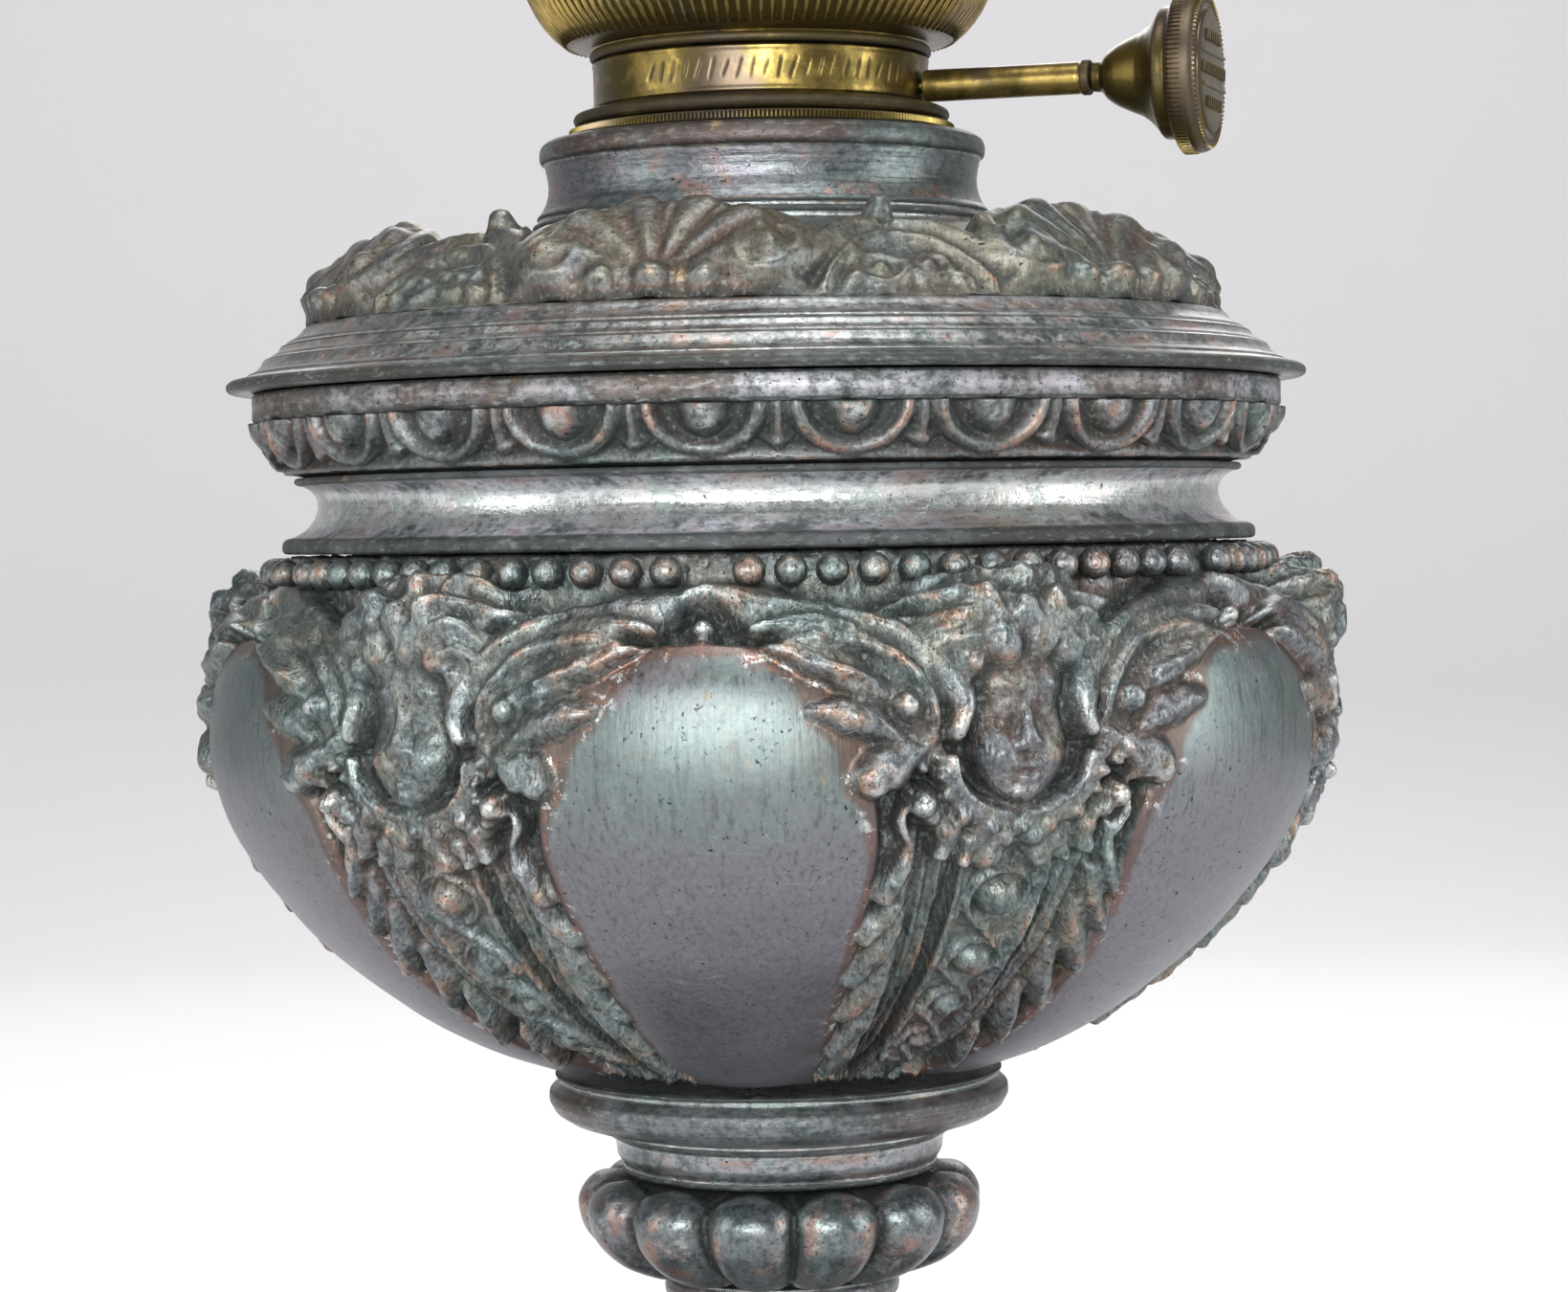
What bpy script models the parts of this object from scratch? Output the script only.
# A kerosene table lamp: a cast foot, knop, vase and lid in bronzed spelter, and a brass
# burner with its wick winder. Metres, +Z up, the lamp stands on z = 0 around the Z axis,
# and its front looks along -Y. Patterns are turned by angles from the front towards +X.

import bpy
import bmesh
import numpy as np
from math import radians, pi, sin, cos
from mathutils import Matrix, Vector

MM = 0.001

# Fit between pieces that touch
SEAT_GAP = 0.3 * MM
SLIDE_GAP = 0.6 * MM

# Foot
FOOT_RADIUS = 86 * MM
FOOT_HEIGHT = 75 * MM
FOOT_EDGE_HEIGHT = 13 * MM
FOOT_STEM_RADIUS = 15.5 * MM
SOLE_WIDTH = 9 * MM
SOLE_RECESS = 2.5 * MM

# Knop: a low ring, the gadroon bulb, a neck and the ring moulding that carries the vase
KNOP_RING_RADIUS = 20.6 * MM
KNOP_RING_HEIGHT = 4.6 * MM
KNOP_BULB_RADIUS = 35.8 * MM
KNOP_BULB_HEIGHT = 18.4 * MM
KNOP_NECK_RADIUS = 28.8 * MM
KNOP_NECK_HEIGHT = 7.6 * MM
KNOP_TORUS_RADIUS = 40.5 * MM
KNOP_TORUS_HEIGHT = 9.6 * MM
GADROONS = 13
GADROON_DEPTH = 4.2 * MM
GADROON_TURN = radians(-9.8)

# Vase
VASE_RADIUS = 100 * MM
BOWL_HEIGHT = 92 * MM
BOWL_SEAT_RADIUS = 38.2 * MM
BEAD_BAND_SINK = 1.1 * MM
BEAD_BAND_HEIGHT = 6.6 * MM
BEAD_BAND_SWELL = 3.4 * MM
THROAT_SINK = 11 * MM
THROAT_HEIGHT = 12 * MM
FILLET_SINK = 4.9 * MM
COLLAR_RADIUS = 89.4 * MM
COLLAR_HEIGHT = 4.9 * MM
EGG_BAND_HEIGHT = 9.6 * MM
EGG_RELIEF = 2.6 * MM
VASE_WALL = 2.6 * MM
COLLAR_WALL = 5.4 * MM
BOWL_RELIEF = 6.5 * MM
PANELS = 6
PANEL_TURN = radians(23.8)
EGGS_A_PANEL = 4

# Lid
RIM_OVERHANG = 4.3 * MM
RIM_THICKNESS = 2.1 * MM
LID_STEPS_HEIGHT = 9.2 * MM
LID_STEPS_RADIUS = 79.5 * MM
LID_DOME_HEIGHT = 15 * MM
LID_WALL = 2.4 * MM
LID_SKIRT_DEPTH = 6 * MM
NECK_FOOT_RADIUS = 40.4 * MM
NECK_WAIST_RADIUS = 37.3 * MM
NECK_HEIGHT = 17 * MM
SHELLS = 6
SHELL_TURN = radians(-12.8)
SHELL_RELIEF = 5 * MM
SHELL_NOMINAL_RADIUS = 79.5

# Burner
BURNER_COLLAR_RADIUS = 33.7 * MM
BURNER_COLLAR_HEIGHT = 1.6 * MM
BURNER_COLLAR_DEPTH = 9 * MM
BURNER_COLLAR_WALL = 2.4 * MM
BURNER_BORE_RADIUS = 27.6 * MM
FLANGE_RADIUS = 32.9 * MM
FLANGE_HEIGHT = 2.4 * MM
DRUM_RADIUS = 29.3 * MM
DRUM_HEIGHT = 8.6 * MM
DRUM_WALL = 1.1 * MM
DRUM_SKIRT_DEPTH = 6 * MM
BASKET_RADIUS = 43 * MM
BASKET_HEIGHT = 29 * MM
BASKET_WALL = 1.1 * MM
GALLERY_OUTER_RADIUS = 31.5 * MM
GALLERY_INNER_RADIUS = 23.5 * MM
GALLERY_THICKNESS = 1.4 * MM
GALLERY_SEAT_RADIUS = 27.5 * MM
GALLERY_SEAT_RISE = 0.8 * MM
PRONGS = 6
PRONG_HEIGHT = 16 * MM
PRONG_WIDTH = 8 * MM
PRONG_THICKNESS = 0.9 * MM
PRONG_SPRING = 2.2 * MM
WICK_TUBE_RADIUS = 12.5 * MM
WICK_TUBE_WALL = 0.9 * MM
WICK_TUBE_RISE = 5 * MM

# Winder: the sleeve leaves the drum level, turned from the front towards +X
WINDER_TURN = radians(72)
WINDER_RISE = 3.1 * MM
SLEEVE_RADIUS = 2.75 * MM
SLEEVE_BORE_RADIUS = 1.8 * MM
SLEEVE_LENGTH = 29.6 * MM
SPINDLE_RADIUS = 1.3 * MM
KNOB_RADIUS = 13.9 * MM
KNOB_STEP_RADIUS = 11.2 * MM
KNOB_BELL_LENGTH = 12.4 * MM
KNOB_STEP_LENGTH = 2.3 * MM
KNOB_DISC_LENGTH = 5.2 * MM
KNOB_FACE_RADIUS = 10.6 * MM
KNOB_FACE_RISE = 0.8 * MM

# Facets: the sides of turnings, and for the carved bands the columns and rows of their skins
# before they are simplified, and the triangles that they keep
ROUND_SIDES = 26
BURNER_SIDES = 20
SMALL_SIDES = 10
KNOB_SIDES = 16
CARVING_COLUMNS = 480
CARVING_ROW = 1.3 * MM
BOWL_TRIANGLES = 1750
SHELL_TRIANGLES = 520

# Heights that follow from the stack of pieces
KNOP_FOOT_Z = FOOT_HEIGHT + SEAT_GAP
BULB_FOOT_Z = KNOP_FOOT_Z + KNOP_RING_HEIGHT
BULB_TOP_Z = BULB_FOOT_Z + KNOP_BULB_HEIGHT
NECK_TOP_Z = BULB_TOP_Z + KNOP_NECK_HEIGHT
KNOP_TOP_Z = NECK_TOP_Z + KNOP_TORUS_HEIGHT
BOWL_FOOT_Z = KNOP_TOP_Z + SEAT_GAP
BOWL_TOP_Z = BOWL_FOOT_Z + BOWL_HEIGHT
THROAT_FOOT_Z = BOWL_TOP_Z
THROAT_TOP_Z = THROAT_FOOT_Z + THROAT_HEIGHT
EGG_TOP_Z = THROAT_TOP_Z + EGG_BAND_HEIGHT
COLLAR_TOP_Z = EGG_TOP_Z + COLLAR_HEIGHT
LID_FOOT_Z = COLLAR_TOP_Z + SEAT_GAP
STEPS_TOP_Z = LID_FOOT_Z + RIM_THICKNESS + LID_STEPS_HEIGHT
DOME_TOP_Z = STEPS_TOP_Z + LID_DOME_HEIGHT
LID_NECK_TOP_Z = DOME_TOP_Z + NECK_HEIGHT
BURNER_COLLAR_Z = LID_NECK_TOP_Z + SEAT_GAP
FLANGE_Z = BURNER_COLLAR_Z + BURNER_COLLAR_HEIGHT + SEAT_GAP
DRUM_TOP_Z = FLANGE_Z + FLANGE_HEIGHT + DRUM_HEIGHT
BASKET_Z = DRUM_TOP_Z + SEAT_GAP
BASKET_TOP_Z = BASKET_Z + BASKET_HEIGHT
GALLERY_Z = BASKET_TOP_Z + SEAT_GAP
WINDER_Z = FLANGE_Z + FLANGE_HEIGHT + WINDER_RISE
RIM_RADIUS = COLLAR_RADIUS + RIM_OVERHANG
COLLAR_BORE_RADIUS = COLLAR_RADIUS - COLLAR_WALL
BEAD_BAND_RADIUS = COLLAR_RADIUS - BEAD_BAND_SINK
FILLET_RADIUS = COLLAR_RADIUS - FILLET_SINK
THROAT_RADIUS = COLLAR_RADIUS - THROAT_SINK
LID_NECK_BORE_RADIUS = BURNER_BORE_RADIUS + BURNER_COLLAR_WALL + SLIDE_GAP


def clear_scene():
    for thing in list(bpy.data.objects):
        bpy.data.objects.remove(thing, do_unlink=True)


def make_material(name, colour, roughness, metallic):
    material = bpy.data.materials.new(name)
    material.use_nodes = True
    shader = material.node_tree.nodes["Principled BSDF"]
    shader.inputs["Base Color"].default_value = (*colour, 1)
    shader.inputs["Roughness"].default_value = roughness
    shader.inputs["Metallic"].default_value = metallic
    return material


def add_object(name, mesh_data, material, sharp_angle=35):
    # A bmesh becomes a named object, shaded smooth up to an angle
    mesh = bpy.data.meshes.new(name)
    mesh_data.to_mesh(mesh)
    mesh_data.free()
    piece = bpy.data.objects.new(name, mesh)
    bpy.context.scene.collection.objects.link(piece)
    if material:
        mesh.materials.append(material)
        mesh.shade_smooth()
        mesh.set_sharp_from_angle(angle=radians(sharp_angle))
    return piece


def smooth_outline(points, spacing):
    # A Catmull-Rom curve through (radius, height) points, with a point about every spacing
    places = [np.array(point, float) for point in points]
    ends = [2 * places[0] - places[1]] + places + [2 * places[-1] - places[-2]]
    outline = [places[0]]
    for before, start, end, after in zip(ends, ends[1:], ends[2:], ends[3:]):
        steps = max(1, round(float(np.linalg.norm(end - start)) / spacing))
        for t in (np.arange(steps) + 1) / steps:
            outline.append(0.5 * (2 * start + (end - before) * t
                                  + (2 * before - 5 * start + 4 * end - after) * t ** 2
                                  + (3 * start - before - 3 * end + after) * t ** 3))
    return [(float(r), float(z)) for r, z in outline]


def turned(name, outline, material, sides=ROUND_SIDES, sharp_angle=35):
    # A closed turning: the outline runs anticlockwise in (radius, height), up its outer side.
    # Points on the axis become poles.
    shape = bmesh.new()
    rings = []
    for radius, height in outline:
        if radius < 1e-7:
            rings.append([shape.verts.new((0, 0, height))])
            continue
        rings.append([shape.verts.new((radius * cos(2 * pi * k / sides),
                                       radius * sin(2 * pi * k / sides), height))
                      for k in range(sides)])
    closed = len(rings[0]) > 1
    pairs = list(zip(rings, rings[1:])) + ([(rings[-1], rings[0])] if closed else [])
    for low, high in pairs:
        for k in range(sides):
            n = (k + 1) % sides
            corners = [low[k % len(low)], low[n % len(low)], high[n % len(high)], high[k % len(high)]]
            if len(low) == 1 and len(high) == 1:
                continue
            if len(low) == 1:
                corners = [low[0], high[n], high[k]]
            elif len(high) == 1:
                corners = [low[k], low[n], high[0]]
            shape.faces.new(corners)
    return add_object(name, shape, material, sharp_angle)


def softened(heights, passes):
    # The raised heights with their sharp steps rounded, as a casting has them
    for _ in range(passes):
        heights = (np.roll(heights, 1, axis=1) + 2 * heights + np.roll(heights, -1, axis=1)) / 4
        inner = (heights[:-2] + 2 * heights[1:-1] + heights[2:]) / 4
        heights = np.concatenate([heights[:1], inner, heights[-1:]])
    return heights


def bridge(low, high, low_start, high_start):
    # Faces between two rings of any two counts of points, given where each ring's points start
    if low == high:
        return [(low_start + k, low_start + (k + 1) % low, high_start + (k + 1) % low, high_start + k)
                for k in range(low)]
    faces, i, j = [], 0, 0
    while i < low or j < high:
        if j == high or (i < low and (i + 1) / low <= (j + 1) / high):
            faces.append((low_start + i % low, low_start + (i + 1) % low, high_start + j % high))
            i += 1
        else:
            faces.append((low_start + i % low, high_start + (j + 1) % high, high_start + j % high))
            j += 1
    return faces


def carved_turning(name, bands, material, sharp_angle=45):
    # A turning from bands, upwards, closed by flat ends. A band is (outline, columns, turn,
    # relief, soften, triangles). relief(angle, run along the band, radius, height) raises its
    # skin along the normals. Bands that state triangles are simplified to that many.
    corners, faces, starts, counts, fine, plain, wanted = [], [], [], [], [], 0, 0
    outlines = [place for outline, *_ in bands for place in outline]
    slopes = np.gradient(np.array(outlines), axis=0)
    normals = np.stack([slopes[:, 1], -slopes[:, 0]], axis=1)
    normals /= np.linalg.norm(normals, axis=1)[:, None]
    for outline, columns, turn, relief, soften, triangles in bands:
        pitch = 2 * pi / columns
        angle, run = np.meshgrid((turn + pitch / 2) % pitch - pitch / 2 + pitch * np.arange(columns),
                                 np.concatenate([[0], np.cumsum(np.hypot(*np.diff(outline, axis=0).T))]))
        radius, height = (np.array(outline)[:, k][:, None] + 0 * angle for k in (0, 1))
        raised = softened(relief(angle, run, radius, height), soften) if relief else 0 * angle
        rows = slice(len(starts), len(starts) + len(outline))
        out = radius + raised * normals[rows, 0][:, None]
        up = height + raised * normals[rows, 1][:, None]
        for row in range(len(outline)):
            starts.append(len(corners))
            counts.append(columns)
            corners += zip(out[row] * np.sin(angle[row]), -out[row] * np.cos(angle[row]), up[row])
            if triangles:
                fine += range(starts[-1], len(corners))
        plain += 0 if triangles else 2 * columns * len(outline)
        wanted += triangles
    for row in range(len(starts) - 1):
        faces += bridge(counts[row], counts[row + 1], starts[row], starts[row + 1])
    faces.append(tuple(starts[0] + k for k in reversed(range(counts[0]))))
    faces.append(tuple(starts[-1] + k for k in range(counts[-1])))
    skin = bpy.data.meshes.new("skin")
    skin.from_pydata([tuple(map(float, corner)) for corner in corners], [], faces)
    shape = bmesh.new()
    shape.from_mesh(skin)
    bpy.data.meshes.remove(skin)
    piece = add_object(name, shape, material, sharp_angle)
    if wanted:
        group = piece.vertex_groups.new(name="carved")
        group.add(fine, 1, "ADD")
        simplify = piece.modifiers.new("simplify", "DECIMATE")
        simplify.vertex_group = group.name
        simplify.ratio = (wanted + plain) / sum(len(face) - 2 for face in faces)
    return piece


def plain_band(outline):
    return outline, ROUND_SIDES, 0, None, 0, 0


def cut(piece, cutter):
    cutter.hide_render = True
    cutter.display_type = "WIRE"
    boolean = piece.modifiers.new(cutter.name, "BOOLEAN")
    boolean.operation = "DIFFERENCE"
    boolean.object = cutter


def dome(distance, radius, height):
    # A round swelling: height over a middle, falling to nothing at its radius
    return height * np.clip(1 - (distance / radius) ** 2, 0, None) ** 0.7


def bump(distance, radius, height):
    # A swelling with soft edges
    return height * np.clip(1 - (distance / radius) ** 2, 0, None) ** 2


def along_path(x, y, path):
    # Distance to a path of (x, y) points, and the share of the path that is nearest
    nearest = np.full(x.shape, 1e9)
    share = np.zeros(x.shape)
    lengths = [np.hypot(x1 - x0, y1 - y0) for (x0, y0), (x1, y1) in zip(path, path[1:])]
    total, done = sum(lengths), 0
    for (x0, y0), (x1, y1), length in zip(path, path[1:], lengths):
        t = np.clip(((x - x0) * (x1 - x0) + (y - y0) * (y1 - y0)) / length ** 2, 0, 1)
        distance = np.hypot(x - x0 - t * (x1 - x0), y - y0 - t * (y1 - y0))
        closer = distance < nearest
        nearest = np.where(closer, distance, nearest)
        share = np.where(closer, (done + t * length) / total, share)
        done += length
    return nearest, share


def folded_angle(angle, count, turn):
    # The angle from the middle of the nearest of count equal panels, from -half to half a panel
    panel = 2 * pi / count
    return (angle - turn + panel / 2) % panel - panel / 2


def oval(x, y, middle, half_sizes, lean, height):
    # A leaning oval swelling, such as a pod, a leaf's lobe or a lock of hair
    across, down = x - middle[0], y - middle[1]
    turn = radians(lean)
    along = (across * cos(turn) + down * sin(turn)) / half_sizes[0]
    beside = (-across * sin(turn) + down * cos(turn)) / half_sizes[1]
    return dome(np.hypot(along, beside), 1, height)


# The carving of one panel of the bowl. Its units are thousandths of the nominal bowl:
# x runs sideways from the head's middle and y down the bowl's surface from the bead row,
# and all of it scales with the bowl. Heights are shares: 0 is the ground, 1 the bosses' crown.
PANEL_LENGTH = 117
NOMINAL_RADIUS = 100
PANEL_HALF = 52
STRIP_HALF = 8.3
CHAIN_MIDDLE = 20
STRIP_BEADS = ((57, 5.4), (72, 4.8), (85.5, 4.2), (97.5, 3.6), (108, 3.2))
HUSKS = ((52, 8, 4.2), (68, 9, 5.4), (86, 9.5, 5.2), (103, 8, 4.2))
WING_LOBES = (((35, 9.5), (9, 2.8), -16), ((31, 15), (8, 3.0), -4), ((28.5, 22.5), (7, 3.2), 0),
              ((24.5, 32), (6.2, 3.8), 12))
HOOD = ((46, 3), (34, 5), (24, 8), (16, 14), (12.8, 22), (13.5, 31))
BERRIES = ((19, 38.5, 3.6), (20, 24, 3.4))
HAIR_LOCKS = (((0, 9), (8, 6.5), 0, 1.9), ((9, 14), (8, 4), 70, 1.5), ((-9, 14), (8, 4), -70, 1.5))


def head_relief(x, y):
    # A child's head, face forward: cranium, brow, cheeks, nose, lips, chin and the hair's locks
    raised = oval(x, y, (0, 26), (9.4, 13), 0, 1.1)
    raised = np.maximum(raised, oval(x, y, (0, 19), (8, 4.5), 0, 1.3))
    for side in (-1, 1):
        raised = np.maximum(raised, oval(x, y, (side * 4.4, 29.5), (4.2, 4.6), 0, 1.28))
        raised = raised - bump(np.hypot(x - side * 3.6, y - 24), 2.6, 0.25)
    raised = np.maximum(raised, oval(x, y, (0, 26.5), (1.9, 4.6), 0, 1.45))
    raised = np.maximum(raised, oval(x, y, (0, 32), (3.0, 1.6), 0, 1.3))
    raised = np.maximum(raised, oval(x, y, (0, 35.4), (3.4, 2.8), 0, 1.18))
    for middle, half_sizes, lean, height in HAIR_LOCKS:
        raised = np.maximum(raised, oval(x, y, middle, half_sizes, lean, height))
    return raised


def boss_relief(from_middle, y, half):
    # An egg-shaped boss between two panels: its edge opens from a point and then runs down
    opening = np.clip((y - 10) / 40, 0, 1) ** 0.45
    edge = half * 0.5 * opening + 1e-6
    share = np.clip(from_middle / edge, 0, 1)
    body = 1 - 0.22 * share ** 2
    wall = np.clip((edge - from_middle) / 1.6, 0, 1)
    return body * wall


def strip_relief(x, y, half):
    # The tapering strip under a head: a sunk field between two fillets, with five beads
    width = STRIP_HALF * half / PANEL_HALF
    field = np.where(np.abs(x) < width, 0.45, 0)
    fillet = np.clip(1.6 - np.abs(np.abs(x) - width), 0, 1) * 0.72
    raised = np.maximum(field, fillet)
    for middle, size in STRIP_BEADS:
        raised = np.maximum(raised, 0.45 + oval(x, y, (0, middle), (size, size), 0, 0.66))
    return np.where(y > 46, raised, 0)


def chain_relief(side, y, half):
    # Husks that hang beside the strip, each narrow above and full below
    raised = 0 * side
    for middle, half_length, half_width in HUSKS:
        share = np.clip((y - middle) / half_length / 2 + 0.5, 0, 1)
        width = half_width * (0.35 + 0.65 * share)
        fall = np.clip((middle + half_length - y) / 2.5, 0, 1)
        husk = dome(side - CHAIN_MIDDLE * half / PANEL_HALF, width, (0.45 + 0.7 * share) * fall)
        raised = np.maximum(raised, np.where(np.abs(y - middle) < half_length, husk, 0))
    return raised


def panel_relief(x, y, half):
    # One panel from its head's middle to the middle of a boss, half away from it
    side = np.abs(x)
    raised = np.maximum(boss_relief(half - side, y, half), strip_relief(x, y, half))
    raised = np.maximum(raised, chain_relief(side, y, half))
    distance, share = along_path(side, y, HOOD)
    raised = np.maximum(raised, dome(distance, 3.4 + 0.8 * np.sin(share * pi), 1.15 + 0.5 * (1 - share)))
    for middle, half_sizes, lean in WING_LOBES:
        raised = np.maximum(raised, oval(side, y, middle, half_sizes, lean, 1.2))
    for across, down, size in BERRIES:
        raised = np.maximum(raised, oval(side, y, (across, down), (size, size), 0, 1.1))
    scallops = 0.9 + 0.1 * np.cos(x * 1.2)
    ruff = oval(x, y, (0, 40), (16.5, 10.5), 0, 0.95) * scallops * np.clip((y - 33) / 3, 0, 1)
    raised = np.maximum(raised, ruff)
    raised = np.maximum(raised, head_relief(x, y))
    return np.maximum(raised, oval(half - side, y, (0, 9), (3.6, 3.6), 0, 1.05))


def bowl_outline():
    # The bowl's crown from its seat up to the bead band, given as shares of its sizes
    wide, seat = VASE_RADIUS, BOWL_SEAT_RADIUS
    shares = ((0.045, 0.015), (0.217, 0.057), (0.388, 0.115), (0.552, 0.192), (0.684, 0.267),
              (0.783, 0.342), (0.867, 0.417), (0.94, 0.51), (0.984, 0.617), (0.977, 0.726),
              (0.935, 0.835), (0.88, 0.893))
    points = [(seat, BOWL_FOOT_Z + 0.4 * MM)]
    points += [(seat + (wide - seat) * out, BOWL_FOOT_Z + BOWL_HEIGHT * up) for out, up in shares]
    points.append((BEAD_BAND_RADIUS - BEAD_BAND_SWELL, BOWL_TOP_Z - BEAD_BAND_HEIGHT - 0.6 * MM))
    return smooth_outline(points, CARVING_ROW)


def bowl_relief(angle, run, radius, height):
    # The six panels of the bowl, which fade out at its foot and its bead band
    y = (1 - run / run[-1, 0]) * PANEL_LENGTH + 3
    nominal = radius / VASE_RADIUS * NOMINAL_RADIUS
    across = folded_angle(angle, PANELS, PANEL_TURN)
    raised = (panel_relief(across * nominal, y, pi / PANELS * nominal) - 1) * BOWL_RELIEF
    return raised * np.clip((y - 3) / 4, 0, 1) * np.clip((PANEL_LENGTH - y) / 6, 0, 1)


def egg_relief(angle, run, radius, height):
    # Eggs between sunk darts
    share = run / run[-1, 0]
    apart = np.abs(folded_angle(angle, PANELS * EGGS_A_PANEL, PANEL_TURN + pi / PANELS))
    return -EGG_RELIEF * apart / (pi / PANELS / EGGS_A_PANEL) * np.sin(pi * (0.15 + 0.8 * share)) ** 0.6


def vase_bands():
    # Bowl, bead band, fillet and hollow throat, egg-and-dart ovolo, plain collar, upwards
    half, swell = BEAD_BAND_HEIGHT / 2, BEAD_BAND_SWELL
    beads = [(BEAD_BAND_RADIUS - swell + swell * cos(t), BOWL_TOP_Z - half + half * sin(t) * 0.95)
             for t in np.linspace(-pi / 2, pi / 2, 4)]
    fillet = [(FILLET_RADIUS, BOWL_TOP_Z), (FILLET_RADIUS, BOWL_TOP_Z + THROAT_HEIGHT * 0.14)]
    lip = COLLAR_RADIUS - 7.4 * MM
    throat = [(THROAT_RADIUS + 3.2 * MM, THROAT_FOOT_Z + THROAT_HEIGHT * 0.17),
              (THROAT_RADIUS + 0.4 * MM, THROAT_FOOT_Z + THROAT_HEIGHT * 0.44),
              (THROAT_RADIUS + 0.4 * MM, THROAT_FOOT_Z + THROAT_HEIGHT * 0.7),
              (lip, THROAT_FOOT_Z + THROAT_HEIGHT * 0.96)]
    ovolo = [(lip + 0.8 * MM, THROAT_TOP_Z),
             (COLLAR_RADIUS - 2.4 * MM, THROAT_TOP_Z + EGG_BAND_HEIGHT * 0.22),
             (COLLAR_RADIUS - 0.5 * MM, THROAT_TOP_Z + EGG_BAND_HEIGHT * 0.62),
             (COLLAR_RADIUS - 0.5 * MM, EGG_TOP_Z - 0.5 * MM)]
    collar = [(COLLAR_RADIUS, EGG_TOP_Z), (COLLAR_RADIUS, COLLAR_TOP_Z)]
    eggs = PANELS * EGGS_A_PANEL
    return [plain_band([(BOWL_SEAT_RADIUS - 0.6 * MM, BOWL_FOOT_Z)]),
            (bowl_outline(), CARVING_COLUMNS, 0, bowl_relief, 6, BOWL_TRIANGLES),
            plain_band(beads + fillet + throat),
            (ovolo, eggs * 2, PANEL_TURN + pi / PANELS, egg_relief, 0, 0),
            plain_band(collar)]


def make_vase(material):
    vase = carved_turning("vase", vase_bands(), material)
    depth = BOWL_RELIEF + VASE_WALL
    floor_z = BOWL_FOOT_Z + VASE_WALL + 2 * MM
    low = [(r - depth, z) for r, z in bowl_outline()[::16]]
    outline = [(0, floor_z), (BOWL_SEAT_RADIUS * 0.6, floor_z)]
    outline += [(r, z) for r, z in low if floor_z + 2 * MM < z < BOWL_TOP_Z - BEAD_BAND_HEIGHT - 6 * MM]
    throat_bore = THROAT_RADIUS - VASE_WALL
    outline += [(throat_bore, BOWL_TOP_Z), (throat_bore, THROAT_TOP_Z),
                (COLLAR_BORE_RADIUS, EGG_TOP_Z - 2 * MM), (COLLAR_BORE_RADIUS, COLLAR_TOP_Z + 5 * MM),
                (0, COLLAR_TOP_Z + 5 * MM)]
    cut(vase, turned("vase_hollow", outline, None))
    return vase


def dome_outline():
    fall = LID_STEPS_RADIUS - NECK_FOOT_RADIUS
    return smooth_outline([(LID_STEPS_RADIUS - 0.6 * MM, STEPS_TOP_Z),
                           (LID_STEPS_RADIUS - fall * 0.13, STEPS_TOP_Z + LID_DOME_HEIGHT * 0.36),
                           (LID_STEPS_RADIUS - fall * 0.32, STEPS_TOP_Z + LID_DOME_HEIGHT * 0.7),
                           (LID_STEPS_RADIUS - fall * 0.62, STEPS_TOP_Z + LID_DOME_HEIGHT * 0.92),
                           (NECK_FOOT_RADIUS + 1 * MM, DOME_TOP_Z)], CARVING_ROW)


def lid_bands():
    # Rim, three turned steps, the dome under the shells and the neck, upwards
    steps = LID_STEPS_HEIGHT
    base = LID_FOOT_Z + RIM_THICKNESS
    out = RIM_RADIUS - LID_STEPS_RADIUS
    outline = [(RIM_RADIUS - 0.5 * MM, LID_FOOT_Z), (RIM_RADIUS, LID_FOOT_Z + 0.6 * MM),
               (RIM_RADIUS, base - 0.6 * MM), (RIM_RADIUS - out * 0.26, base + steps * 0.05),
               (RIM_RADIUS - out * 0.3, base + steps * 0.32), (RIM_RADIUS - out * 0.47, base + steps * 0.36),
               (RIM_RADIUS - out * 0.5, base + steps * 0.62), (RIM_RADIUS - out * 0.75, base + steps * 0.68),
               (LID_STEPS_RADIUS + 0.4 * MM, STEPS_TOP_Z)]
    top_radius = BURNER_COLLAR_RADIUS + 1 * MM
    rise = NECK_HEIGHT
    neck = [(NECK_FOOT_RADIUS, DOME_TOP_Z + 0.4 * MM),
            (NECK_WAIST_RADIUS + 1.2 * MM, DOME_TOP_Z + rise * 0.22),
            (NECK_WAIST_RADIUS, DOME_TOP_Z + rise * 0.5),
            (NECK_WAIST_RADIUS + 0.4 * MM, DOME_TOP_Z + rise * 0.74),
            (NECK_WAIST_RADIUS + 1.6 * MM, DOME_TOP_Z + rise * 0.77),
            (NECK_WAIST_RADIUS + 1.5 * MM, DOME_TOP_Z + rise * 0.9), (top_radius, LID_NECK_TOP_Z)]
    return [plain_band(outline), (dome_outline(), CARVING_COLUMNS, 0, shell_relief, 3, SHELL_TRIANGLES),
            plain_band(neck)]


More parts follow.
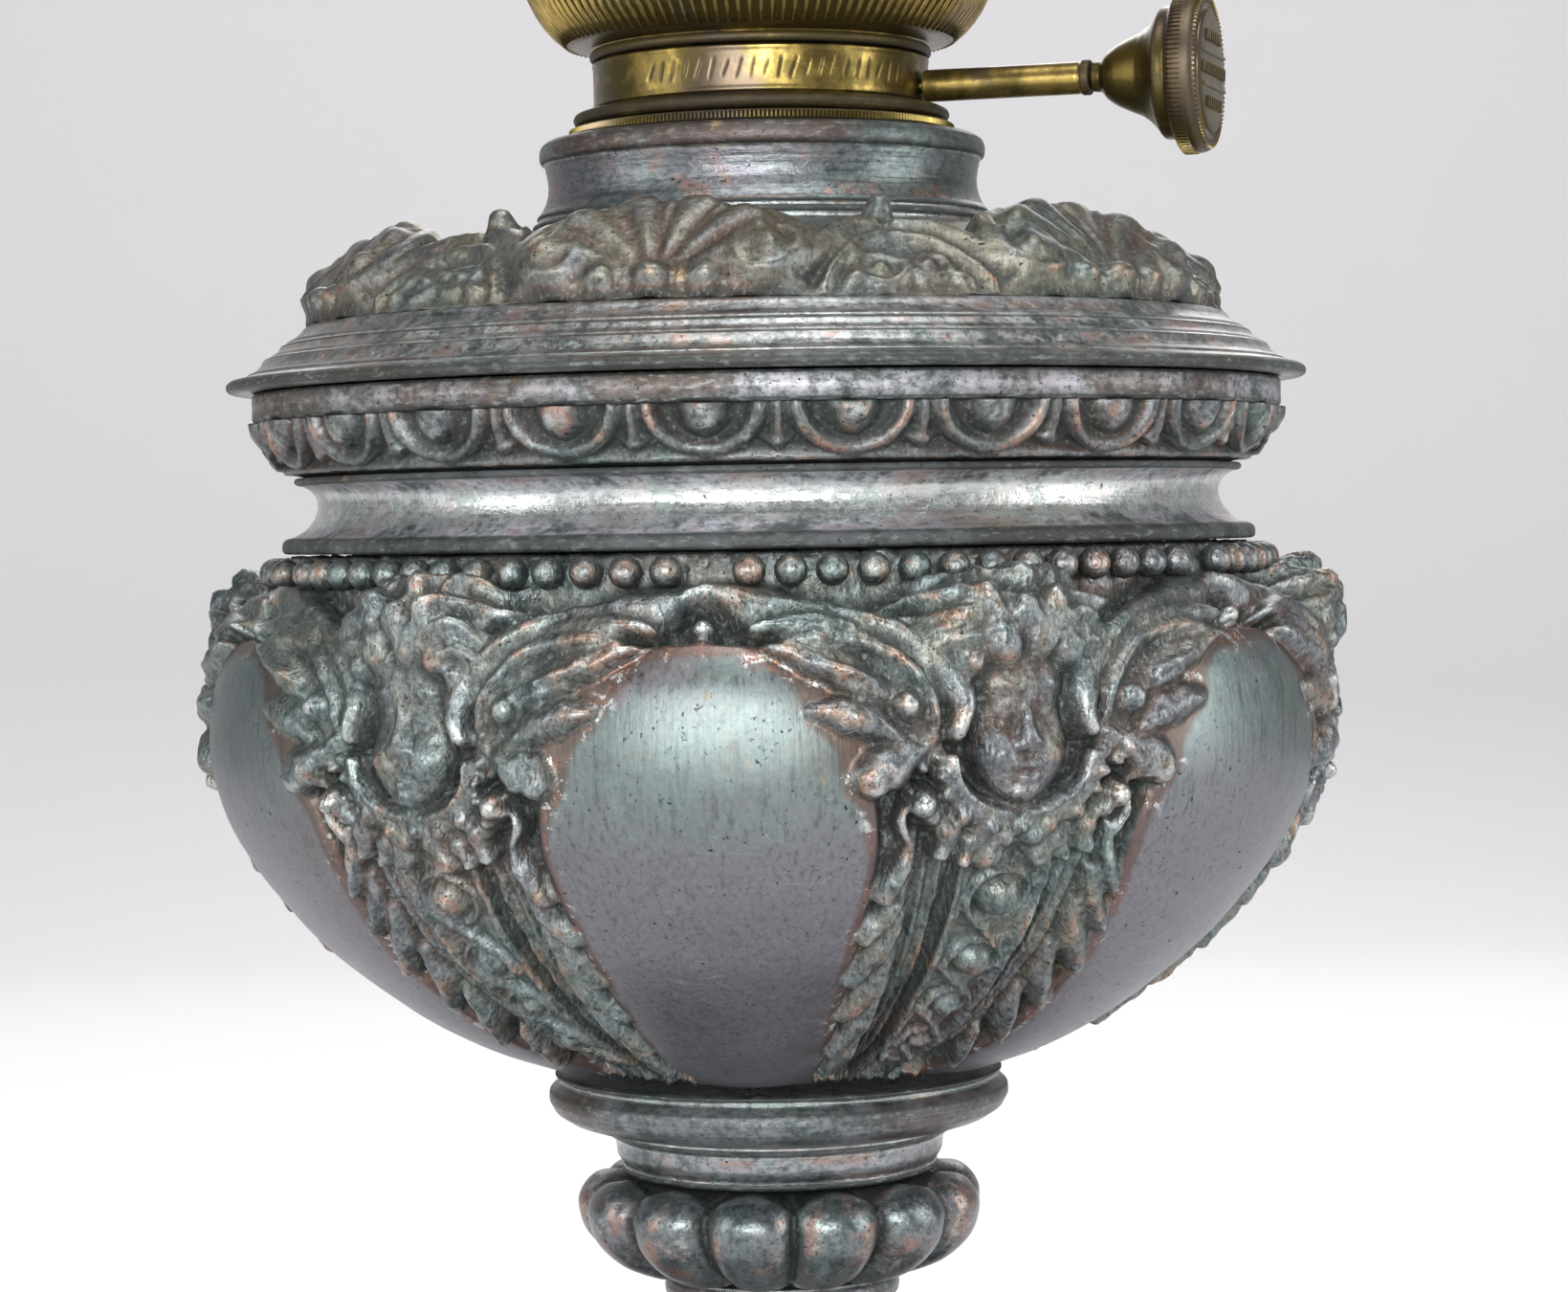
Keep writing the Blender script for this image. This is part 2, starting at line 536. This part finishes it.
def shell_relief(angle, run, radius, height):
    # Scallop shells with fanned ribs and rolled ends, and a scroll with a ball between them.
    # y runs up the dome from its foot, in thousandths of the nominal lid.
    unit = LID_STEPS_RADIUS / SHELL_NOMINAL_RADIUS
    x, y = folded_angle(angle, SHELLS, SHELL_TURN) * radius / unit, run / unit
    reach = np.hypot(x * 0.95, y)
    fan = np.arctan2(x, y)
    rise = 0.25 + 0.75 * np.clip(reach / 20, 0, 1)
    fall = np.clip((25.5 - reach) / 4, 0, 1)
    shell = rise * fall * (0.91 + 0.09 * np.cos(fan * 9)) * np.clip((1.35 - np.abs(fan)) / 0.25, 0, 1)
    for side in (-1, 1):
        shell = np.maximum(shell, oval(x, y, (side * 18.5, 6.2), (6, 6), 0, 0.95))
    between = folded_angle(angle, SHELLS, SHELL_TURN + pi / SHELLS) * radius / unit
    scroll = oval(between, y, (0, 7), (11, 7.5), 0, 0.6)
    ball = oval(between, y, (0, 15.5), (3.4, 3.4), 0, 1.1)
    return np.maximum(shell, np.maximum(scroll, ball)) * SHELL_RELIEF * np.clip(y / 2, 0, 1)


def make_lid(material):
    lid = carved_turning("lid", lid_bands(), material)
    seat = COLLAR_BORE_RADIUS - SLIDE_GAP
    inner = seat - LID_WALL
    low, high = LID_FOOT_Z - LID_SKIRT_DEPTH, LID_FOOT_Z + LID_WALL
    fall = LID_STEPS_RADIUS - NECK_FOOT_RADIUS
    bore = LID_NECK_BORE_RADIUS
    under_neck = NECK_WAIST_RADIUS - LID_WALL
    neck_floor = LID_NECK_TOP_Z - LID_WALL - 1 * MM
    outline = [(0, low - 5 * MM), (inner, low - 5 * MM), (inner, LID_FOOT_Z + 1 * MM),
               (LID_STEPS_RADIUS - LID_WALL - 1.5 * MM, STEPS_TOP_Z - LID_WALL),
               (LID_STEPS_RADIUS - fall * 0.16 - LID_WALL, STEPS_TOP_Z + LID_DOME_HEIGHT * 0.33 - LID_WALL),
               (LID_STEPS_RADIUS - fall * 0.36, STEPS_TOP_Z + LID_DOME_HEIGHT * 0.68 - LID_WALL),
               (under_neck + 4 * MM, DOME_TOP_Z - LID_WALL - 1 * MM), (under_neck, DOME_TOP_Z + 1 * MM),
               (under_neck, neck_floor), (bore, neck_floor), (bore, LID_NECK_TOP_Z + 5 * MM),
               (0, LID_NECK_TOP_Z + 5 * MM)]
    skirt = turned("lid_skirt", [(inner - 0.5 * MM, low), (seat, low), (seat, high - 0.5 * MM),
                                 (inner - 0.5 * MM, high - 0.5 * MM)], None)
    skirt.hide_render = True
    skirt.display_type = "WIRE"
    join = lid.modifiers.new("skirt", "BOOLEAN")
    join.operation = "UNION"
    join.object = skirt
    cut(lid, turned("lid_hollow", outline, None))
    return lid


def gadroon_relief(angle, run, radius, height):
    share = run / run[-1, 0]
    lobe = np.abs(folded_angle(angle, GADROONS, GADROON_TURN)) / (pi / GADROONS)
    return (np.sqrt(1 - np.clip(lobe, 0, 1) ** 2) - 1) * GADROON_DEPTH * np.sin(pi * (0.06 + 0.88 * share))


def knop_bands():
    # The low ring, the bulb with its gadroons, the neck and the ring moulding, upwards
    ring = [(KNOP_RING_RADIUS - 1.2 * MM, KNOP_FOOT_Z),
            (KNOP_RING_RADIUS, KNOP_FOOT_Z + KNOP_RING_HEIGHT * 0.5),
            (KNOP_RING_RADIUS - 0.6 * MM, BULB_FOOT_Z - 0.3 * MM)]
    span = KNOP_BULB_RADIUS - KNOP_RING_RADIUS
    bulb = [(KNOP_RING_RADIUS + 0.6 * MM, BULB_FOOT_Z),
            (KNOP_RING_RADIUS + span * 0.62, BULB_FOOT_Z + KNOP_BULB_HEIGHT * 0.17),
            (KNOP_RING_RADIUS + span * 0.95, BULB_FOOT_Z + KNOP_BULB_HEIGHT * 0.42),
            (KNOP_RING_RADIUS + span * 0.97, BULB_FOOT_Z + KNOP_BULB_HEIGHT * 0.68),
            (KNOP_NECK_RADIUS + 2 * MM, BULB_TOP_Z - KNOP_BULB_HEIGHT * 0.12),
            (KNOP_NECK_RADIUS - 1 * MM, BULB_TOP_Z)]
    neck = [(KNOP_NECK_RADIUS - 0.6 * MM, BULB_TOP_Z + 0.8 * MM),
            (KNOP_NECK_RADIUS + 0.5 * MM, BULB_TOP_Z + KNOP_NECK_HEIGHT * 0.8)]
    middle = NECK_TOP_Z + KNOP_TORUS_HEIGHT * 0.5
    torus = [(KNOP_TORUS_RADIUS - 4 * MM + 4 * MM * cos(t), middle + KNOP_TORUS_HEIGHT * 0.5 * sin(t))
             for t in np.linspace(-pi / 2, pi * 0.42, 4)]
    torus.append((BOWL_SEAT_RADIUS, KNOP_TOP_Z))
    return [plain_band(ring), (bulb, GADROONS * 4, GADROON_TURN, gadroon_relief, 0, 0),
            plain_band(neck + torus)]


def make_knop(material):
    return carved_turning("knop", knop_bands(), material)


def make_foot(material):
    # A plain domed foot with a flared stem and a stepped edge, recessed inside its sole ring
    edge = FOOT_EDGE_HEIGHT
    rise = FOOT_HEIGHT - edge
    stem = FOOT_STEM_RADIUS
    span = FOOT_RADIUS - stem
    sole = FOOT_RADIUS - 1.5 * MM
    outline = [(0, SOLE_RECESS), (sole - SOLE_WIDTH, SOLE_RECESS), (sole - SOLE_WIDTH, 0), (sole, 0)]
    outline += [(FOOT_RADIUS, edge * 0.16), (FOOT_RADIUS, edge * 0.45), (FOOT_RADIUS - 3 * MM, edge * 0.64),
                (FOOT_RADIUS - 6 * MM, edge * 0.7), (FOOT_RADIUS - 6.5 * MM, edge)]
    outline += [(stem + span * out, edge + rise * up)
                for out, up in ((0.87, 0.01), (0.77, 0.15), (0.64, 0.32), (0.44, 0.45), (0.24, 0.52),
                                (0.2, 0.56), (0.08, 0.7), (0.02, 0.86))]
    outline.append((stem + 1.5 * MM, FOOT_HEIGHT))
    outline.append((0, FOOT_HEIGHT))
    return turned("foot", outline, material)


def make_burner_collar(material):
    # A flanged ring: the flange lies on the lid's neck and the sleeve hangs in its bore
    top = BURNER_COLLAR_Z + BURNER_COLLAR_HEIGHT
    sleeve = BURNER_BORE_RADIUS + BURNER_COLLAR_WALL
    low = BURNER_COLLAR_Z - BURNER_COLLAR_DEPTH
    outline = [(BURNER_BORE_RADIUS, low), (sleeve, low), (sleeve, BURNER_COLLAR_Z),
               (BURNER_COLLAR_RADIUS, BURNER_COLLAR_Z), (BURNER_COLLAR_RADIUS, top),
               (BURNER_BORE_RADIUS, top)]
    return turned("burner_collar", outline, material, BURNER_SIDES)


def make_burner_drum(material):
    # The flange with its rolled edge, the skirt that screws into the collar, the floor that
    # holds the wick tube, and the drum's wall with the hole for the winder's spindle
    skirt = BURNER_BORE_RADIUS - SLIDE_GAP
    floor_top = FLANGE_Z + DRUM_WALL
    hole = WICK_TUBE_RADIUS + SEAT_GAP
    flange_top = FLANGE_Z + FLANGE_HEIGHT
    roll = FLANGE_HEIGHT / 2
    low = FLANGE_Z - DRUM_SKIRT_DEPTH
    inner = DRUM_RADIUS - DRUM_WALL
    outline = [(skirt - DRUM_WALL, low), (skirt, low), (skirt, FLANGE_Z)]
    outline += [(FLANGE_RADIUS - roll + roll * cos(t), FLANGE_Z + roll + roll * sin(t))
                for t in np.linspace(-pi / 2, pi / 2, 4)]
    outline += [(DRUM_RADIUS, flange_top), (DRUM_RADIUS, DRUM_TOP_Z), (inner, DRUM_TOP_Z),
                (inner, floor_top), (hole, floor_top), (hole, FLANGE_Z), (skirt - DRUM_WALL, FLANGE_Z)]
    drum = turned("burner_drum", outline, material, BURNER_SIDES)
    reach = DRUM_RADIUS + 5 * MM
    drill = turned("spindle_hole", [(0, 0), (SLEEVE_BORE_RADIUS, 0), (SLEEVE_BORE_RADIUS, reach), (0, reach)],
                   None, SMALL_SIDES)
    drill.matrix_world = winder_frame(WICK_TUBE_RADIUS + 3 * MM)
    cut(drum, drill)
    return drum


def basket_outline(wall):
    # The basket's skin, or its inside when wall is taken off, upwards
    foot, wide = DRUM_RADIUS + 0.6 * MM, BASKET_RADIUS
    rise = BASKET_HEIGHT
    shares = ((0.0, 0.055), (0.313, 0.093), (0.489, 0.155), (0.72, 0.30), (1.0, 0.63), (0.92, 0.82),
              (0.62, 0.95))
    points = [(foot + (wide - foot) * out - wall, BASKET_Z + rise * up) for out, up in shares]
    return points


def make_burner_basket(material):
    foot = DRUM_RADIUS + 0.6 * MM
    top = GALLERY_OUTER_RADIUS + 2.5 * MM
    lip = BASKET_TOP_Z - BASKET_WALL
    bore = GALLERY_OUTER_RADIUS - 3.5 * MM
    outer = [(foot, BASKET_Z)] + basket_outline(0) + [(top, BASKET_TOP_Z), (bore, BASKET_TOP_Z), (bore, lip)]
    inner = [(foot - BASKET_WALL, BASKET_Z)]
    inner += [(r, min(z + BASKET_WALL * 0.5, lip)) for r, z in basket_outline(BASKET_WALL)]
    return turned("burner_basket", outer + inner[::-1], material, BURNER_SIDES)


def make_gallery(material):
    # A ring with a raised seat for the glass, and sprung prongs that hold it
    top = GALLERY_Z + GALLERY_THICKNESS
    seat = top + GALLERY_SEAT_RISE
    ring = turned("chimney_gallery", [(GALLERY_INNER_RADIUS, GALLERY_Z), (GALLERY_OUTER_RADIUS, GALLERY_Z),
                                      (GALLERY_OUTER_RADIUS, top), (GALLERY_SEAT_RADIUS, top),
                                      (GALLERY_SEAT_RADIUS, seat), (GALLERY_INNER_RADIUS, seat)], material,
                  BURNER_SIDES)
    shape = bmesh.new()
    for number in range(PRONGS):
        turn = Matrix.Rotation(2 * pi * (number + 0.5) / PRONGS, 4, "Z")
        sections = []
        for share in (0, 0.35, 0.75, 1):
            lean = PRONG_SPRING * sin(share * 4.2)
            out = GALLERY_OUTER_RADIUS - PRONG_THICKNESS - 0.2 * MM + lean * (share > 0)
            height = GALLERY_Z + GALLERY_THICKNESS / 2 + (PRONG_HEIGHT - GALLERY_THICKNESS / 2) * share
            half = PRONG_WIDTH / 2 * (1 - 0.35 * share)
            back = out + PRONG_THICKNESS
            corners = [(out, -half), (back, -half), (back, half), (out, half)]
            sections.append([shape.verts.new(turn @ Vector((x, y, height))) for x, y in corners])
        for low, high in zip(sections, sections[1:]):
            for k in range(4):
                n = (k + 1) % 4
                shape.faces.new([low[k], low[n], high[n], high[k]])
        shape.faces.new(sections[0][::-1])
        shape.faces.new(sections[-1])
    prongs = add_object("prongs", shape, None)
    prongs.hide_render = True
    prongs.display_type = "WIRE"
    join = ring.modifiers.new("prongs", "BOOLEAN")
    join.operation = "UNION"
    join.object = prongs
    return ring


def make_wick_tube(material):
    low = FLANGE_Z - DRUM_SKIRT_DEPTH
    top = GALLERY_Z + GALLERY_THICKNESS + WICK_TUBE_RISE
    inner = WICK_TUBE_RADIUS - WICK_TUBE_WALL
    outline = [(inner, low), (WICK_TUBE_RADIUS, low), (WICK_TUBE_RADIUS, top), (inner, top)]
    return turned("wick_tube", outline, material, KNOB_SIDES)


def winder_frame(distance):
    # A frame on the winder's axis, at a distance from the lamp's axis, with its Z outwards
    direction = Vector((sin(WINDER_TURN), -cos(WINDER_TURN), 0))
    place = direction * distance + Vector((0, 0, WINDER_Z))
    return Matrix.Translation(place) @ direction.to_track_quat("Z", "Y").to_matrix().to_4x4()


def make_winder(brass, face):
    start = DRUM_RADIUS + SEAT_GAP
    end = start + SLEEVE_LENGTH
    lip = 0.25 * MM
    sleeve = turned("winder_sleeve", [(SLEEVE_BORE_RADIUS, 0), (SLEEVE_RADIUS, 0),
                                      (SLEEVE_RADIUS, SLEEVE_LENGTH - 1 * MM),
                                      (SLEEVE_RADIUS + lip, SLEEVE_LENGTH - 0.9 * MM),
                                      (SLEEVE_RADIUS + lip, SLEEVE_LENGTH),
                                      (SLEEVE_BORE_RADIUS, SLEEVE_LENGTH)], brass, SMALL_SIDES)
    sleeve.matrix_world = winder_frame(start)
    knob_start = end + SEAT_GAP
    inside = knob_start - WICK_TUBE_RADIUS - 3 * MM
    bell = KNOB_BELL_LENGTH
    neck = SLEEVE_RADIUS - 0.3 * MM
    span = KNOB_STEP_RADIUS - neck
    step = bell + KNOB_STEP_LENGTH
    disc = step + KNOB_DISC_LENGTH
    outline = [(0, -inside), (SPINDLE_RADIUS, -inside), (SPINDLE_RADIUS, 0), (neck, 0)]
    outline += smooth_outline([(neck, bell * 0.1), (neck + span * 0.17, bell * 0.2),
                               (neck + span * 0.34, bell * 0.38), (neck + span * 0.48, bell * 0.6),
                               (neck + span * 0.66, bell * 0.78), (neck + span * 0.95, bell)], 6 * MM)
    outline += [(KNOB_STEP_RADIUS, bell + 0.4 * MM), (KNOB_STEP_RADIUS, step),
                (KNOB_RADIUS - 1.3 * MM, step + 0.1 * MM), (KNOB_RADIUS, step + 1.4 * MM),
                (KNOB_RADIUS, disc - 0.8 * MM), (KNOB_RADIUS - 0.8 * MM, disc),
                (KNOB_FACE_RADIUS + 0.4 * MM, disc - 0.3 * MM),
                (KNOB_FACE_RADIUS, disc + KNOB_FACE_RISE * 0.6), (0, disc + KNOB_FACE_RISE * 1.15)]
    knob = turned("winder_knob", outline, face, KNOB_SIDES)
    knob.matrix_world = winder_frame(knob_start)
    return sleeve, knob


clear_scene()
spelter = make_material("bronzed_spelter", (0.16, 0.17, 0.165), 0.38, 0.85)
brass = make_material("tarnished_brass", (0.30, 0.24, 0.09), 0.35, 0.95)
make_foot(spelter)
make_knop(spelter)
make_vase(spelter)
make_lid(spelter)
make_burner_collar(brass)
make_burner_drum(brass)
make_burner_basket(brass)
make_gallery(brass)
make_wick_tube(brass)
make_winder(brass, brass)
